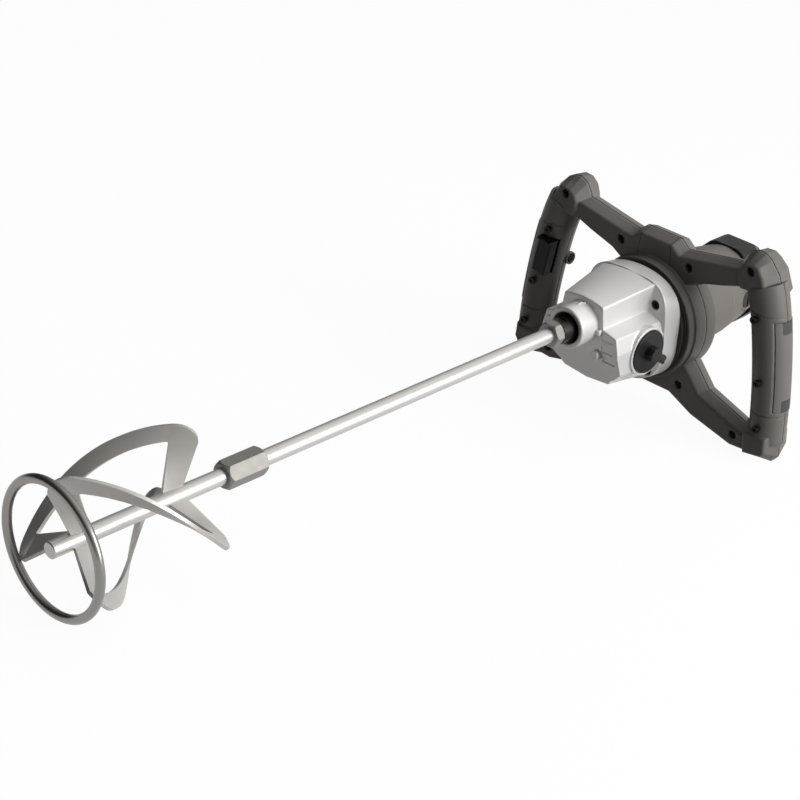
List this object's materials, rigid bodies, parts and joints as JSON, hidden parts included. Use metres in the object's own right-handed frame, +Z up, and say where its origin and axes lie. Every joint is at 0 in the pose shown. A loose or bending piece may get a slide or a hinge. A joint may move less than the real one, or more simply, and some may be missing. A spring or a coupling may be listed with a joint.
{
  "type": "mixing drill",
  "caption": "Hand-held mixing drill: a cast gear case and motor in a twin D-handle frame, driving a long rod with a ringed paddle of twisted blades.",
  "frame": {"origin": "middle of the part's box, on the floor that the paddle ring and both handle feet rest on", "axes": "+Y along the tool from the paddle to the motor's rear cap, +X on the side of the speed selector, +Z up"},
  "size_m": [0.323, 0.87, 0.1993],
  "materials": {
    "paddle_steel": "polished bar and strip, welded",
    "spindle_steel": "black oxide",
    "gear_steel": "hardened, ground",
    "bearing_steel": "ground",
    "seal_rubber": "matte",
    "bronze": "sintered",
    "cast_aluminium": "cast, silver lacquer",
    "black_plastic": "moulded, fine grain",
    "knob_plastic": "moulded",
    "screw_steel": "black zinc",
    "handle_plastic": "moulded, fine grain",
    "grip_rubber": "soft overmould",
    "lamination_steel": "stamped sheets",
    "copper": "enamelled wire",
    "carbon": "pressed carbon"
  },
  "bodies": {
    "root": {"spindle_front_bearing": "bearing_steel", "spindle_rear_bearing": "bearing_steel", "armature_front_bearing": "bearing_steel", "spindle_seal": "seal_rubber", "layshaft_front_bush": "bronze", "layshaft_rear_bush": "bronze", "gear_case": "cast_aluminium", "gear_case_plug": "cast_aluminium", "gear_plate": "cast_aluminium", "case_joint_ring": "black_plastic", "gear_case_screws": "screw_steel", "shift_rail": "gear_steel", "right_grip_pad": "grip_rubber", "left_grip_pad": "grip_rubber", "switch_module": "black_plastic", "cord_inlet": "black_plastic", "front_handle_shell": "handle_plastic", "rear_handle_shell": "handle_plastic", "handle_screws": "screw_steel", "armature_rear_bearing": "bearing_steel", "fan_baffle": "black_plastic", "stator_core": "lamination_steel", "field_coils": "copper", "motor_housing": "handle_plastic", "brush_housing": "handle_plastic", "carbon_brushes": "carbon", "brush_holders": "bronze", "brush_caps": "black_plastic", "rear_cap": "black_plastic", "rear_cap_screws": "screw_steel"},
    "spindle": {"output_spindle": "spindle_steel", "low_gear": "gear_steel", "paddle_hex": "paddle_steel", "paddle_upper_rod": "paddle_steel", "rod_coupling": "paddle_steel", "paddle_lower_rod": "paddle_steel", "paddle_blade_1": "paddle_steel", "paddle_blade_2": "paddle_steel", "paddle_blade_3": "paddle_steel", "paddle_ring": "paddle_steel"},
    "high_gear": {"high_gear": "gear_steel"},
    "shift_sleeve": {"shift_sleeve": "gear_steel"},
    "layshaft": {"layshaft": "gear_steel", "layshaft_gear": "gear_steel"},
    "armature": {"armature_shaft": "gear_steel", "armature_core": "lamination_steel", "commutator": "copper", "cooling_fan": "black_plastic"},
    "trigger": {"trigger": "black_plastic"},
    "lock_button": {"lock_button": "black_plastic"},
    "selector": {"selector_knob": "knob_plastic", "selector_cam": "gear_steel"},
    "shift_fork": {"shift_fork": "gear_steel"}
  },
  "joints": [
    {"name": "spindle_spin", "type": "hinge", "parent": "root", "child": "spindle", "pos_m": [0, 0.15634, 0.10917], "axis": [0, 0.9964, 0.0844], "continuous": true},
    {"name": "high_gear_spin", "type": "hinge", "parent": "root", "child": "high_gear", "pos_m": [0, 0.15634, 0.10917], "axis": [0, 0.9964, 0.0844], "continuous": true},
    {"name": "layshaft_spin", "type": "hinge", "parent": "root", "child": "layshaft", "pos_m": [0.02084, 0.15858, 0.08272], "axis": [0, 0.9964, 0.0844], "continuous": true},
    {"name": "armature_spin", "type": "hinge", "parent": "root", "child": "armature", "pos_m": [0, 0.26797, 0.09454], "axis": [0, 0.9964, 0.0844], "continuous": true},
    {"name": "selector_turn", "type": "hinge", "parent": "root", "child": "selector", "pos_m": [0.0475, 0.2233, 0.08875], "axis": [1, 0, 0], "range_deg": [0, 60]},
    {"name": "shift_fork_slide", "type": "slide", "parent": "root", "child": "shift_fork", "axis": [0, 0.9964, 0.0844], "range_m": [-0.006, 0]},
    {"name": "shift_sleeve_slide", "type": "slide", "parent": "spindle", "child": "shift_sleeve", "axis": [0, 0.9964, 0.0844], "range_m": [-0.006, 0]},
    {"name": "trigger_press", "type": "slide", "parent": "root", "child": "trigger", "axis": [0, 0.9964, 0.0844], "range_m": [0, 0.005], "stiffness_N_per_m": 1500, "springref_m": -0.002},
    {"name": "lock_button_press", "type": "slide", "parent": "root", "child": "lock_button", "axis": [-1, 0, 0], "range_m": [0, 0.0024], "stiffness_N_per_m": 1000, "springref_m": -0.002}
  ],
  "couplings": [
    {"joint": "layshaft_spin", "follows": "spindle_spin", "ratio": -2.375},
    {"joint": "armature_spin", "follows": "spindle_spin", "ratio": 14.25},
    {"joint": "high_gear_spin", "follows": "spindle_spin", "ratio": 1.6328},
    {"joint": "selector_turn", "follows": "shift_fork_slide", "rad_per_m": -174.53},
    {"joint": "shift_sleeve_slide", "follows": "shift_fork_slide", "ratio": 1}
  ]
}
